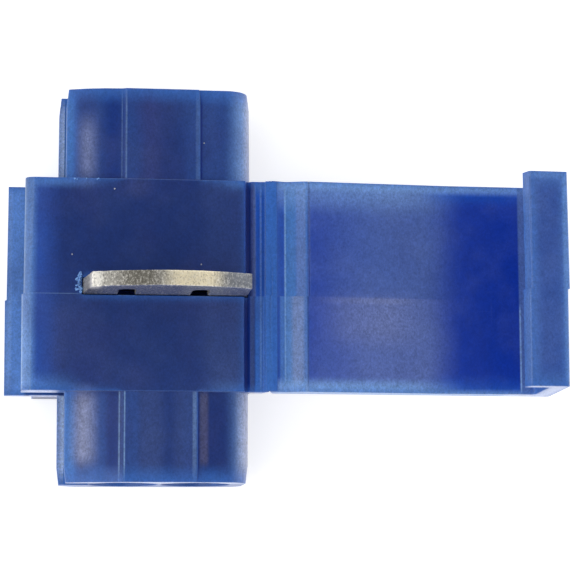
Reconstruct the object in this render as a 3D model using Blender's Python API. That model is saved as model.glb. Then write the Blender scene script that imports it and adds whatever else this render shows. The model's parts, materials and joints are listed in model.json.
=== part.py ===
"""A self-stripping run and tap wire splice, lying open.

One polypropylene moulding holds the body with two wire channels side by side, a living hinge and a
cover with a latch hook. A slotted metal contact plate stands proud in its slot across the channels,
and is pressed down flush over both wires before the cover folds over and latches.

Metres, +Z up. The wires run along Y. The origin is on the underside, midway between the channels,
on the mould's parting plane. The cover lies open toward +X.
"""

import math

import bmesh
import bpy
from mathutils import Vector

MM = 0.001

# Wire channels
CHANNEL_DIAMETER = 3.4 * MM
CHANNEL_WEB = 0.4 * MM
CHANNEL_FLOOR = 0.9 * MM
CHANNEL_ROOF = 0.9 * MM
LEAD_IN_WIDEN = 0.4 * CHANNEL_WEB
LEAD_IN_DEPTH = 0.75 * MM
STOP_SETBACK = 4.6 * MM
STOP_THICKNESS = 0.8 * MM

# Slit that lets the running wire in from the side
SLIT_HEIGHT = 1.5 * MM
SLIT_DROP = 0.4 * MM

# Block round the contact plate
BLOCK_FRONT = 5.03 * MM
BLOCK_BACK = 6.11 * MM
JAW_REACH = 3.6 * MM
JAW_EDGE_RADIUS = 0.5 * MM
LEDGE_PROUD = 0.88 * MM
LEDGE_THICKNESS = 0.67 * MM
SMALL_RADIUS = 0.12 * MM

# Barrels beyond the block, over the channel ends
BARREL_FRONT = 4.7 * MM
BARREL_BACK = 4.89 * MM
BARREL_SIDE_WALL = 1.1 * MM
BARREL_ROOF = 0.75 * MM
BARREL_JAW_REACH = 1.5 * MM
BARREL_JAW_DROP = 0.6 * MM
BARREL_JAW_EDGE = 0.2 * MM
BARREL_LIP_PROUD = 0.35 * MM
BARREL_CORNER_RADIUS = 1.5 * MM
BARREL_CROWN_SHARE = 0.95
BARREL_FRONT_TUCK = 0.06 * MM
RIB_OVERLAP = 0.06 * MM
RIB_RISE = 0.12 * MM
RIB_SLOPE = 0.24 * MM
BARREL_TIP_LENGTH = 0.9 * MM
BARREL_TIP_INSET = 0.1 * MM

# Mould
DRAFT_ANGLE = math.radians(0.25)
HALF_MISMATCH = 0.09 * MM
SEAM_WIDTH = 0.04 * MM

# Living hinge
HINGE_SPAN = 0.955 * MM
HINGE_RISE = 0.16 * MM
HINGE_WEB = 0.25 * MM
HINGE_GAP = 0.06 * MM
STRAP_THICKNESS = 1.0 * MM
STRAP_NOTCH = 0.27 * MM
STRAP_DIP = 0.2 * MM
GROOVE_WIDTH = 0.36 * MM
GROOVE_DEPTH = 0.36 * MM

# Cover
COVER_DROOP = math.radians(2.4)
COVER_GAP = 0.05 * MM
COVER_THICKNESS = 1.3 * MM
COVER_HOLLOW = 0.22 * MM
COVER_VALLEY_AT = 0.85 * MM
COVER_CREST_AT = 1.75 * MM
COVER_PLATE_AT = 2.06 * MM
CREASE_WIDTH = 0.12 * MM

# Latch hook
HOOK_THICKNESS = 1.05 * MM
HOOK_LEAN = math.radians(5.5)
BARB_REACH = 1.35 * MM
BARB_THICKNESS = 0.72 * MM
BARB_NOSE = 0.19 * MM
LATCH_CLEARANCE = 0.05 * MM
CATCH_CLEARANCE = 0.1 * MM
NOTCH_CLEARANCE = 0.07 * MM

# Contact plate
CONTACT_THICKNESS = 0.8 * MM
CONTACT_SLOT_WIDTH = 0.9 * MM
CONTACT_LEFT_LEG = 1.79 * MM
CONTACT_RIGHT_LEG = 2.07 * MM
CONTACT_PROUD = 3.4 * MM
CONTACT_CROWN = 0.9 * MM
CONTACT_BRIDGE = 1.55 * MM
CONTACT_SIDE_SLOPE = 0.38 * MM
CONTACT_TIP_FLAT = 0.7 * MM
CONTACT_TIP_RISE = 0.75 * MM
CONTACT_SINK = 0.05 * MM
CONTACT_CLEARANCE = 0.05 * MM
CONTACT_SLOT_FLOOR = 0.35 * MM
SLOT_END_WALL = 0.25 * MM

ARC_STEP = math.radians(9)
CHANNEL_SIDES = 48
OVERCUT = 1.0 * MM

# Places that follow from the sizes
channel_radius = CHANNEL_DIAMETER / 2
channel_pitch = CHANNEL_DIAMETER + CHANNEL_WEB
run_x = -channel_pitch / 2
tap_x = channel_pitch / 2
channel_z = CHANNEL_FLOOR + channel_radius
block_top = CHANNEL_FLOOR + CHANNEL_DIAMETER + CHANNEL_ROOF
slit_floor = channel_z - SLIT_DROP
slit_roof = slit_floor + SLIT_HEIGHT
slit_middle = slit_floor + SLIT_HEIGHT / 2
ledge_under = slit_floor - LEDGE_THICKNESS

contact_left = run_x - CONTACT_SLOT_WIDTH / 2 - CONTACT_LEFT_LEG
contact_right = tap_x + CONTACT_SLOT_WIDTH / 2 + CONTACT_RIGHT_LEG
contact_crown = block_top + CONTACT_PROUD
contact_travel = CONTACT_PROUD + CONTACT_SINK
contact_foot = CONTACT_SLOT_FLOOR + CONTACT_CLEARANCE + contact_travel

jaw_left = run_x - channel_radius - JAW_REACH
ledge_left = jaw_left - LEDGE_PROUD
block_right = contact_right + CONTACT_CLEARANCE + SLOT_END_WALL
hinge_x = block_right + HINGE_SPAN
hinge_z = block_top + HINGE_RISE
strap_under = block_top - STRAP_THICKNESS

cover_face = HINGE_RISE - COVER_GAP
ledge_fall = hinge_z - slit_floor
hook_inner = (
    hinge_x - ledge_left + 2 * HALF_MISMATCH + LATCH_CLEARANCE + ledge_fall * math.tan(HOOK_LEAN)
)
hook_outer = hook_inner + HOOK_THICKNESS
barb_catch = hinge_z - ledge_under + CATCH_CLEARANCE
barb_top = barb_catch + BARB_THICKNESS
barb_root = hook_inner - barb_catch * math.tan(HOOK_LEAN)
barb_tip = barb_root - BARB_REACH
notch_wall = hinge_x - barb_tip + 2 * HALF_MISMATCH + NOTCH_CLEARANCE

barrel_right = tap_x + channel_radius + BARREL_SIDE_WALL
barrel_jaw = run_x - channel_radius - BARREL_JAW_REACH
barrel_lip = barrel_jaw - BARREL_LIP_PROUD
barrel_top = channel_z + channel_radius + BARREL_ROOF
barrel_under = channel_z - channel_radius - BARREL_ROOF


def arc(centre_x, centre_z, radius, start, end):
    """Points on a circle from one angle to another, counted from +X toward +Z."""
    steps = max(2, math.ceil(abs(end - start) / ARC_STEP))
    return [
        (
            centre_x + radius * math.cos(start + (end - start) * i / steps),
            centre_z + radius * math.sin(start + (end - start) * i / steps),
        )
        for i in range(steps + 1)
    ]


def rounded(corners):
    """An outline through (x, z, radius) corners, each turned on an arc that its sides can hold."""
    outline = []
    for i, (x, z, radius) in enumerate(corners):
        here = Vector((x, z))
        before = Vector(corners[i - 1][:2]) - here
        after = Vector(corners[(i + 1) % len(corners)][:2]) - here
        half = before.angle(after) / 2
        if radius <= 0 or half > math.radians(88):
            outline.append((x, z))
            continue
        reach = min(radius / math.tan(half), 0.45 * before.length, 0.45 * after.length)
        radius = reach * math.tan(half)
        start = here + before.normalized() * reach
        end = here + after.normalized() * reach
        centre = here + (before.normalized() + after.normalized()).normalized() * (
            radius / math.sin(half)
        )
        first = math.atan2(start.y - centre.y, start.x - centre.x)
        turn = math.atan2(end.y - centre.y, end.x - centre.x) - first
        turn = (turn + math.pi) % (2 * math.pi) - math.pi
        outline.extend(arc(centre.x, centre.y, radius, first, first + turn))
    return outline


def loft(name, rings):
    """A closed solid through rings with the same number of points."""
    form = bmesh.new()
    loops = [[form.verts.new(point) for point in ring] for ring in rings]
    for near, far in zip(loops, loops[1:]):
        for i in range(len(near)):
            j = (i + 1) % len(near)
            form.faces.new((near[i], near[j], far[j], far[i]))
    form.faces.new(reversed(loops[0]))
    form.faces.new(loops[-1])
    bmesh.ops.recalc_face_normals(form, faces=form.faces)
    mesh = bpy.data.meshes.new(name)
    form.to_mesh(mesh)
    form.free()
    mesh.shade_smooth()
    mesh.set_sharp_from_angle(angle=math.radians(30))
    made = bpy.data.objects.new(name, mesh)
    bpy.context.scene.collection.objects.link(made)
    return made


def clamped(share):
    return min(1, max(0, share))


def half_shift(x):
    """The front half of the mould sits a little to the left of the back half."""
    return -HALF_MISMATCH


def barrel_shift(x):
    """The front barrels sit to the left too, but their jaws are cut a little further in."""
    inward = clamped((x - barrel_lip) / (run_x - barrel_lip))
    return BARREL_FRONT_TUCK - (BARREL_FRONT_TUCK + HALF_MISMATCH) * inward


def moulded(name, outline, stations, drafted, shifted=half_shift):
    """An outline run along Y through (y, inset) stations, drawn in by drafted(x, z, lean),
    with the front half of the mould moved by shifted(x)."""
    rings = []
    for y, inset in stations:
        lean = abs(y) * math.tan(DRAFT_ANGLE) + inset
        ring = []
        for x, z in outline:
            across, above = drafted(x, z, lean)
            ring.append((across + (shifted(x) if y < 0 else 0), y, above))
        rings.append(ring)
    return loft(name, rings)


def stations(front, back):
    """The two ends and the seam between the mould's halves, or the seam alone."""
    seam = [(-SEAM_WIDTH / 2, 0), (SEAM_WIDTH / 2, 0)]
    return [(-front, 0), *seam, (back, 0)] if front else seam


def prism(name, outline, front, back):
    """An outline drawn in X and Z, run straight along Y."""
    return loft(name, [[(x, y, z) for x, z in outline] for y in (front, back)])


def body_draft(x, z, lean):
    """The left side leans toward the hinge, and the top toward the ledge."""
    across = clamped((hinge_x - x) / (hinge_x - ledge_left))
    above = clamped((z - slit_floor) / (block_top - slit_floor))
    return x + lean * across, z - lean * above


def barrel_draft(x, z, lean):
    """The barrels draw in toward their own middle and the underside."""
    middle = (barrel_lip + barrel_right) / 2
    return (
        middle + (x - middle) * (1 - 2 * lean / (barrel_right - barrel_lip)),
        z * (1 - lean / barrel_top),
    )


def cover_draft(x, z, lean):
    """The hook leans toward the hinge, and the plate thins from both faces."""
    half = COVER_THICKNESS / 2
    above = min(1, max(-1, (z - cover_face + half) / half))
    return x - lean * clamped(x / hook_outer), z - lean * above


def body_outline():
    """The block's section, with the ledge on its left and half of the hinge strap on its right."""
    groove_right = block_right - GROOVE_WIDTH * 0.1
    groove_left = groove_right - GROOVE_WIDTH
    groove_floor = block_top - GROOVE_DEPTH
    strap_top = block_top - STRAP_DIP
    strap_end = hinge_x - HINGE_GAP / 2
    crest_foot = strap_end - STRAP_NOTCH
    return rounded(
        [
            (notch_wall, 0, SMALL_RADIUS),
            (block_right, 0, SMALL_RADIUS),
            (block_right, strap_under, SMALL_RADIUS),
            (strap_end - STRAP_NOTCH, strap_under, 0),
            (strap_end, hinge_z - HINGE_WEB, 0),
            (strap_end, hinge_z, 0),
            (crest_foot, strap_top, SMALL_RADIUS),
            (groove_right, strap_top, SMALL_RADIUS / 2),
            (groove_right - GROOVE_WIDTH * 0.4, groove_floor, 0),
            (groove_left + GROOVE_WIDTH * 0.25, groove_floor, 0),
            (groove_left, block_top, SMALL_RADIUS / 2),
            (jaw_left, block_top, JAW_EDGE_RADIUS),
            (jaw_left, slit_middle, 0),
            (ledge_left, slit_middle, 0),
            (ledge_left, ledge_under, SMALL_RADIUS),
            (notch_wall, ledge_under, SMALL_RADIUS),
        ]
    )


def barrel_outline():
    """The barrels' section: a round one over the tap channel, a crowned one over the slit channel,
    and a raised rib from channel to channel."""
    rib_left = run_x - RIB_OVERLAP
    rib_right = tap_x + RIB_OVERLAP
    crown_foot = rib_left - RIB_SLOPE
    full_round = barrel_right - rib_right
    span = crown_foot - barrel_jaw
    crown_radius = (span**2 + BARREL_JAW_DROP**2) / (2 * BARREL_JAW_DROP)
    crown_turn = math.asin(span / crown_radius)
    crown = arc(
        crown_foot,
        barrel_top - crown_radius,
        crown_radius,
        math.pi / 2,
        math.pi / 2 + crown_turn * BARREL_CROWN_SHARE,
    )
    return rounded(
        [
            (barrel_right, barrel_under, full_round),
            (barrel_right, barrel_top, full_round),
            (rib_right, barrel_top, 0),
            (rib_right, barrel_top + RIB_RISE, 0),
            (rib_left, barrel_top + RIB_RISE, 0),
            *[(x, z, 0) for x, z in crown],
            (barrel_jaw, barrel_top - BARREL_JAW_DROP, BARREL_JAW_EDGE),
            (barrel_jaw, slit_middle, 0),
            (barrel_lip, slit_middle, 0),
            (barrel_lip, barrel_under, BARREL_CORNER_RADIUS),
            (rib_left - RIB_SLOPE, barrel_under, 0),
            (rib_left, barrel_under - RIB_RISE, 0),
            (rib_right, barrel_under - RIB_RISE, 0),
            (rib_right, barrel_under, 0),
        ]
    )


def channel_ring(centre_x, y, radius):
    turn = 2 * math.pi / CHANNEL_SIDES
    return [
        (centre_x + radius * math.cos(i * turn), y, channel_z + radius * math.sin(i * turn))
        for i in range(CHANNEL_SIDES)
    ]


def channel_cutter(name, centre_x, start, end, open_start, open_end):
    """A round bore from start to end along Y, flared where it comes out of the barrels."""
    flare = LEAD_IN_WIDEN / LEAD_IN_DEPTH
    wide = channel_radius + LEAD_IN_WIDEN + flare * OVERCUT
    rings = []
    if open_start:
        rings.append(channel_ring(centre_x, start - OVERCUT, wide))
        rings.append(channel_ring(centre_x, start + LEAD_IN_DEPTH, channel_radius))
    else:
        rings.append(channel_ring(centre_x, start, channel_radius))
    if open_end:
        rings.append(channel_ring(centre_x, end - LEAD_IN_DEPTH, channel_radius))
        rings.append(channel_ring(centre_x, end + OVERCUT, wide))
    else:
        rings.append(channel_ring(centre_x, end, channel_radius))
    return loft(name, rings)


def slit_outline():
    """From the run channel's middle out through the left side of the jaws."""
    outside = ledge_left - OVERCUT
    return [
        (run_x, slit_floor),
        (run_x, slit_roof),
        (outside, slit_roof),
        (outside, slit_floor),
    ]


def contact_outline():
    """The plate standing proud, with a crowned top edge and a slot for each wire."""
    half_slot = CONTACT_SLOT_WIDTH / 2
    half_span = (contact_right - contact_left - CONTACT_SIDE_SLOPE) / 2
    middle = contact_right - half_span
    crown_radius = (half_span**2 + CONTACT_CROWN**2) / (2 * CONTACT_CROWN)
    reach = math.asin(half_span / crown_radius)
    top = arc(
        middle,
        contact_crown - crown_radius,
        crown_radius,
        math.pi / 2 - reach,
        math.pi / 2 + reach,
    )
    slot_roof = contact_crown - CONTACT_BRIDGE - half_slot
    tip_top = contact_foot + CONTACT_TIP_RISE
    web_left = run_x + channel_radius + CHANNEL_WEB / 2 - CONTACT_TIP_FLAT / 2
    web_right = web_left + CONTACT_TIP_FLAT
    outline = top + [(contact_left, block_top), (contact_left, contact_foot)]
    outline.append((run_x - (web_left - run_x), contact_foot))
    for slot_x, tip_right in ((run_x, web_left), (tap_x, tap_x + (tap_x - web_right))):
        outline.append((slot_x - half_slot, tip_top))
        outline.extend(arc(slot_x, slot_roof, half_slot, math.pi, 0))
        outline.append((slot_x + half_slot, tip_top))
        outline.append((tip_right, contact_foot))
        if slot_x == run_x:
            outline.append((web_right, contact_foot))
    outline.append((contact_right, contact_foot))
    return outline


def cover_outline():
    """Half of the hinge strap, the plate and the latch hook, with the origin on the hinge axis."""
    near = HINGE_GAP / 2
    under = cover_face - COVER_THICKNESS
    dip = -(STRAP_DIP + HINGE_RISE) * 0.6
    lean = math.tan(HOOK_LEAN)
    hollow_at = (COVER_PLATE_AT + hook_inner) * 0.57
    return rounded(
        [
            (near, 0, 0),
            (near, -HINGE_WEB, 0),
            (near + STRAP_NOTCH, under, SMALL_RADIUS),
            (hook_outer, under, SMALL_RADIUS * 2),
            (hook_outer - (barb_top - under) * lean, barb_top, SMALL_RADIUS),
            (barb_tip + BARB_NOSE, barb_top, SMALL_RADIUS),
            (barb_tip, barb_catch, SMALL_RADIUS / 2),
            (barb_root, barb_catch, SMALL_RADIUS),
            (hook_inner, cover_face - COVER_HOLLOW * 0.3, SMALL_RADIUS * 2),
            (hollow_at, cover_face - COVER_HOLLOW, 0),
            (COVER_PLATE_AT, cover_face, 0),
            (COVER_PLATE_AT - CREASE_WIDTH / 2, cover_face - CREASE_WIDTH / 2, 0),
            (COVER_PLATE_AT - CREASE_WIDTH, cover_face, 0),
            (COVER_CREST_AT, cover_face, SMALL_RADIUS * 3),
            (COVER_VALLEY_AT, dip, SMALL_RADIUS * 3),
        ]
    )


def material(name, colour, roughness, metallic):
    made = bpy.data.materials.new(name)
    made.use_nodes = True
    surface = made.node_tree.nodes["Principled BSDF"]
    surface.inputs["Base Color"].default_value = (*colour, 1)
    surface.inputs["Roughness"].default_value = roughness
    surface.inputs["Metallic"].default_value = metallic
    return made


def combine(target, tool, operation):
    """A Boolean on the target, whose tool stays in the scene as a guide."""
    tool.hide_render = True
    tool.display_type = "WIRE"
    cut = target.modifiers.new(tool.name, "BOOLEAN")
    cut.operation = operation
    cut.solver = "EXACT"
    cut.object = tool


def build_body(finish):
    front = BLOCK_FRONT + BARREL_FRONT
    back = BLOCK_BACK + BARREL_BACK
    body = moulded("body_moulding", body_outline(), stations(BLOCK_FRONT, BLOCK_BACK), body_draft)
    barrels = moulded(
        "barrels",
        barrel_outline(),
        [
            (-front, BARREL_TIP_INSET),
            (BARREL_TIP_LENGTH - front, 0),
            *stations(0, 0),
            (back - BARREL_TIP_LENGTH, 0),
            (back, BARREL_TIP_INSET),
        ],
        barrel_draft,
        barrel_shift,
    )
    combine(body, barrels, "UNION")
    run = channel_cutter("run_channel", run_x, -front, back, True, True)
    combine(body, run, "DIFFERENCE")
    slit = prism("side_slit", slit_outline(), -front - OVERCUT, back + OVERCUT)
    combine(body, slit, "DIFFERENCE")
    tap = channel_cutter("tap_channel", tap_x, -front, STOP_SETBACK, True, False)
    combine(body, tap, "DIFFERENCE")
    behind_stop = STOP_SETBACK + STOP_THICKNESS
    core = channel_cutter("rear_core", tap_x, behind_stop, back, False, True)
    combine(body, core, "DIFFERENCE")
    gap = CONTACT_CLEARANCE
    slot = prism(
        "contact_slot",
        [
            (contact_left - gap, CONTACT_SLOT_FLOOR),
            (contact_right + gap, CONTACT_SLOT_FLOOR),
            (contact_right + gap, block_top + OVERCUT),
            (contact_left - gap, block_top + OVERCUT),
        ],
        -gap,
        CONTACT_THICKNESS + gap,
    )
    combine(body, slot, "DIFFERENCE")
    body.data.materials.append(finish)
    return body


def build_cover(finish):
    axis = bpy.data.objects.new("cover_hinge", None)
    bpy.context.scene.collection.objects.link(axis)
    axis.location = (hinge_x, 0, hinge_z)
    axis.rotation_euler = (0, COVER_DROOP, 0)
    cover = moulded(
        "latch_cover", cover_outline(), stations(BLOCK_FRONT, BLOCK_BACK), cover_draft
    )
    cover.parent = axis
    cover.data.materials.append(finish)
    return cover


def build_contact(finish):
    plate = prism("contact_plate", contact_outline(), 0, CONTACT_THICKNESS)
    plate.data.materials.append(finish)
    return plate


def main():
    for old in list(bpy.data.objects):
        bpy.data.objects.remove(old, do_unlink=True)
    plastic = material("blue_polypropylene", (0.035, 0.09, 0.38), 0.35, 0)
    metal = material("tinned_brass", (0.55, 0.53, 0.48), 0.35, 1)
    build_body(plastic)
    build_cover(plastic)
    build_contact(metal)


main()
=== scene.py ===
import json
import math
import random

import bmesh
import bpy
from mathutils import Matrix, Vector


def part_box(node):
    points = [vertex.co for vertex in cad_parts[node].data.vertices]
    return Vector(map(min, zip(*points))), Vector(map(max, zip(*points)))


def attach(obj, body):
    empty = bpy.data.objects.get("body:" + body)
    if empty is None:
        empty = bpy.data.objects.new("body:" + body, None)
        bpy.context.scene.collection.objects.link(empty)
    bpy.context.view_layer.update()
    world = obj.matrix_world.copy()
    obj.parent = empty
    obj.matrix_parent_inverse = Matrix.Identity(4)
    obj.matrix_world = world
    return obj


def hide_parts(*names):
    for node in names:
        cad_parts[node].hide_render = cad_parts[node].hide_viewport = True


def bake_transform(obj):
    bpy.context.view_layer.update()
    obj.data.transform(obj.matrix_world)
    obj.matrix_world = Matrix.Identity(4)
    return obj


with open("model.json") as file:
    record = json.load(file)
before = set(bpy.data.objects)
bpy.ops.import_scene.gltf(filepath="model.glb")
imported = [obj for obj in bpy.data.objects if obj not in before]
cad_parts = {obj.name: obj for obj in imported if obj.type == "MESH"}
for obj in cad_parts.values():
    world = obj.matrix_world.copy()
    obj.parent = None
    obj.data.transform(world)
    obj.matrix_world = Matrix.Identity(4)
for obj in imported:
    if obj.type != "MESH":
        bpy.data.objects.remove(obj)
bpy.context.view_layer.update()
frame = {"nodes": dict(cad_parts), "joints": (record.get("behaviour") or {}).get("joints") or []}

MM = 0.001

# Camera of the photograph, in mm and degrees
LOOK_AT = Vector((7.215, 1.184, 0)) * MM
DISTANCE = 118 * MM
LENS = 134.34
TILT = math.radians(8.183)
LEAN = math.radians(7.091)
ROLL = math.radians(0.791)

random.seed(7)


def linear(red, green, blue):
    """A colour written as it looks on a screen, 0 to 255, as scene-linear values."""
    return tuple(
        value / 12.92 if value <= 0.04045 else ((value + 0.055) / 1.055) ** 2.4
        for value in (red / 255, green / 255, blue / 255)
    )


# The studio's level on a face that looks up, and the gloss that it adds there
LEVEL = 0.82
GLOSS = 0.0135


def plastic_colour(red, green, blue):
    """The base colour of plastic that is to look like this under the studio's light."""
    return tuple(max(0.002, (value - GLOSS) / LEVEL) for value in linear(red, green, blue))


# Colours of the plastic where it is thick, with painted shade in grooves and beside ribs, and a
# front half painted lighter for the light its drafted top catches
NAVY = plastic_colour(41, 57, 111)
NAVY_FRONT = plastic_colour(46, 63, 117)
NAVY_LIGHT = plastic_colour(60, 76, 126)
MAUVE = plastic_colour(60, 72, 122)
VIOLET = plastic_colour(56, 62, 112)
VIOLET_DARK = plastic_colour(56, 66, 124)
BARREL_NAVY = plastic_colour(34, 55, 119)
BARREL_BLUE = plastic_colour(52, 78, 140)
GROOVE_SHADE = plastic_colour(29, 51, 128)
DEEP_BLUE = plastic_colour(37, 61, 154)

# At the edges and in thin places: painted light where light comes through, and painted highlights
# and reflections on edges, rounded sides and faces that look forward
THIN_BLUE = plastic_colour(60, 102, 176)
EDGE_BLUE = plastic_colour(52, 82, 160)
EDGE_HIGHLIGHT = plastic_colour(150, 186, 226)
CORNER_BLUE = plastic_colour(84, 124, 190)
BAND_HIGHLIGHT = plastic_colour(91, 131, 192)
BAND_HIGHLIGHT_LINE = plastic_colour(110, 142, 194)
LEDGE_BLUE = plastic_colour(100, 144, 216)
LEDGE_LIGHT = plastic_colour(140, 176, 232)
LIP_REFLECTION = plastic_colour(190, 212, 246)
PALE_BLUE = plastic_colour(112, 154, 214)
RIM_REFLECTION = plastic_colour(166, 172, 196)
WHITE_REFLECTION = plastic_colour(206, 216, 244)

# Painted highlights and reflections on the barrels, and the dull colour of rubbed places
LAVENDER = plastic_colour(128, 148, 190)
GREY_HIGHLIGHT = plastic_colour(122, 132, 170)
WARM_HIGHLIGHT = plastic_colour(132, 139, 172)
WARM_REFLECTION = plastic_colour(80, 82, 114)

# The strap, the hinge and the cover, with painted light on the fold's slopes that face the lamp,
# painted shade on those facing away and in its crease, and painted highlight on its crest
STRAP_BLUE = plastic_colour(38, 86, 184)
STRAP_MID = plastic_colour(68, 112, 182)
LIT_SIDE_BLUE = plastic_colour(68, 113, 179)
FOLD_SHADE = plastic_colour(22, 74, 164)
CREST_HIGHLIGHT_BACK = plastic_colour(92, 117, 175)
CREST_HIGHLIGHT_FRONT = plastic_colour(112, 132, 178)
CREASE_SHADE = plastic_colour(54, 80, 152)
SHEEN_BACK = plastic_colour(80, 102, 162)
SHEEN_FRONT = plastic_colour(92, 110, 168)
SHEEN_LIGHT = plastic_colour(128, 136, 170)
COVER_EDGE = plastic_colour(118, 155, 210)
PLATE_RIM = plastic_colour(92, 117, 166)
HOOK_BLUE = plastic_colour(70, 104, 170)
HOOK_CENTRE = plastic_colour(57, 82, 149)

# Colours of the tin plate, with painted glints and painted highlights and shade along its top
TIN_GREY = linear(172, 169, 162)
TIN_WARM_HIGHLIGHT = linear(255, 244, 214)
TIN_GLINT = linear(255, 252, 244)
SHEAR_DARK = linear(98, 97, 98)
FACE_TIN = linear(109, 120, 156)
TIN_PALE = linear(166, 171, 178)
TIN_SHADE = linear(132, 136, 144)
TIN_WARM_SHADE = linear(118, 115, 106)


def add_object(name, mesh, body):
    """A new piece that rides on a body."""
    made = bpy.data.objects.new(name, mesh)
    bpy.context.scene.collection.objects.link(made)
    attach(made, body)
    return made


def make_camera():
    """The camera of the photograph."""
    toward = Vector(
        (-math.sin(LEAN), -math.sin(TILT) * math.cos(LEAN), math.cos(TILT) * math.cos(LEAN))
    )
    right = Vector(
        (math.cos(LEAN), -math.sin(TILT) * math.sin(LEAN), math.cos(TILT) * math.sin(LEAN))
    )
    up = Vector((0, math.cos(TILT), math.sin(TILT)))
    across = right * math.cos(ROLL) + up * math.sin(ROLL)
    above = up * math.cos(ROLL) - right * math.sin(ROLL)
    data = bpy.data.cameras.new("camera")
    data.lens = LENS
    data.sensor_width = 36
    data.clip_start = 1 * MM
    made = bpy.data.objects.new("camera", data)
    turn = Matrix((across, above, toward)).transposed().to_4x4()
    made.matrix_world = Matrix.Translation(LOOK_AT + toward * DISTANCE) @ turn
    bpy.context.scene.collection.objects.link(made)
    bpy.context.scene.camera = made


class Graph:
    """A short way to build a node tree: each call adds a node and gives back its output."""

    def __init__(self, tree):
        self.tree = tree

    def add(self, kind, **settings):
        node = self.tree.nodes.new(kind)
        for name, value in settings.items():
            setattr(node, name, value)
        return node

    def put(self, socket, value):
        """Joins an output to a socket, or sets the socket to a number or colour."""
        if isinstance(value, bpy.types.NodeSocket):
            self.tree.links.new(value, socket)
        elif hasattr(socket.default_value, "__len__") and isinstance(value, tuple):
            filled = (*value, 1) if len(socket.default_value) > len(value) else value
            socket.default_value = filled
        else:
            socket.default_value = value

    def math(self, operation, first, second=0.0, third=0.0, clamp=False):
        node = self.add("ShaderNodeMath", operation=operation, use_clamp=clamp)
        for socket, value in zip(node.inputs, (first, second, third)):
            self.put(socket, value)
        return node.outputs[0]

    def vector(self, operation, first, second):
        node = self.add("ShaderNodeVectorMath", operation=operation)
        self.put(node.inputs[0], first)
        self.put(node.inputs[1], second)
        return node.outputs[0]

    def scaled(self, vector, by):
        """A vector with each axis multiplied by its own number."""
        return self.vector("MULTIPLY", vector, by)

    def ramp(self, value, low, high, smooth=True):
        """0 below low, 1 above high; the two may be given the other way round."""
        node = self.add(
            "ShaderNodeMapRange", interpolation_type="SMOOTHSTEP" if smooth else "LINEAR"
        )
        self.put(node.inputs["Value"], value)
        node.inputs["From Min"].default_value = low
        node.inputs["From Max"].default_value = high
        return node.outputs["Result"]

    def blend(self, factor, first, second):
        node = self.add("ShaderNodeMix", data_type="RGBA")
        self.put(node.inputs["Factor"], factor)
        self.put(node.inputs[6], first)
        self.put(node.inputs[7], second)
        return node.outputs[2]

    def noise(self, vector, scale, detail=2.0, roughness=0.5):
        node = self.add("ShaderNodeTexNoise")
        self.put(node.inputs["Vector"], vector)
        node.inputs["Scale"].default_value = scale
        node.inputs["Detail"].default_value = detail
        node.inputs["Roughness"].default_value = roughness
        return node.outputs["Fac"]

    def group(self, made, **values):
        node = self.add("ShaderNodeGroup")
        node.node_tree = made
        for name, value in values.items():
            self.put(node.inputs[name.replace("_", " ").capitalize()], value)
        return node.outputs


def start_group(name, inputs, outputs):
    """An empty node group with named sockets, its graph, and its input and output nodes."""
    tree = bpy.data.node_groups.new(name, "ShaderNodeTree")
    for label, kind, value in inputs:
        socket = tree.interface.new_socket(name=label, in_out="INPUT", socket_type=kind)
        if value is not None:
            socket.default_value = value
    for label, kind in outputs:
        tree.interface.new_socket(name=label, in_out="OUTPUT", socket_type=kind)
    graph = Graph(tree)
    return tree, graph, graph.add("NodeGroupInput").outputs, graph.add("NodeGroupOutput").inputs


def make_soft_box():
    """A mask that is 1 inside a box in the part's own frame, in mm, and fades over its border."""
    tree, graph, given, result = start_group(
        "soft box",
        [
            ("Place", "NodeSocketVector", None),
            ("Low", "NodeSocketVector", (0, 0, 0)),
            ("High", "NodeSocketVector", (1, 1, 1)),
            ("Border", "NodeSocketVector", (0.2, 0.2, 0.2)),
        ],
        [("Mask", "NodeSocketFloat")],
    )
    above_low = graph.vector("SUBTRACT", given["Place"], given["Low"])
    below_high = graph.vector("SUBTRACT", given["High"], given["Place"])
    rises = graph.vector("DIVIDE", above_low, given["Border"])
    falls = graph.vector("DIVIDE", below_high, given["Border"])
    least = graph.vector("MINIMUM", rises, falls)
    parts = graph.add("ShaderNodeSeparateXYZ")
    graph.put(parts.inputs[0], least)
    mask = None
    for axis in parts.outputs:
        side = graph.ramp(axis, -0.5, 0.5)
        mask = side if mask is None else graph.math("MULTIPLY", mask, side)
    graph.put(result["Mask"], mask)
    return tree


def make_thin_walls():
    """How near the point is to the far side of the plastic: 1 at an edge or in a thin wall."""
    tree, graph, given, result = start_group(
        "thin walls",
        [("Depth", "NodeSocketFloat", 0.0007), ("Strength", "NodeSocketFloat", 1.0)],
        [("Mask", "NodeSocketFloat")],
    )
    inside = graph.add("ShaderNodeAmbientOcclusion", inside=True, only_local=True, samples=8)
    graph.put(inside.inputs["Distance"], given["Depth"])
    near = graph.ramp(inside.outputs["AO"], 0.95, 0.35, smooth=False)
    graph.put(result["Mask"], graph.math("MULTIPLY", near, given["Strength"], clamp=True))
    return tree


def make_clouds():
    """Cloudy colour, drawn out along the wires."""
    tree, graph, given, result = start_group(
        "clouds",
        [
            ("Place", "NodeSocketVector", None),
            ("Colour", "NodeSocketColor", None),
            ("Cloud colour", "NodeSocketColor", None),
            ("Amount", "NodeSocketFloat", 0.5),
        ],
        [("Colour", "NodeSocketColor")],
    )
    clouds = graph.noise(graph.scaled(given["Place"], (0.5, 0.28, 0.5)), 1.0, 3.0)
    cloud = graph.math("MULTIPLY", graph.ramp(clouds, 0.42, 0.72), given["Amount"])
    graph.put(result["Colour"], graph.blend(cloud, given["Colour"], given["Cloud colour"]))
    return tree


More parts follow.
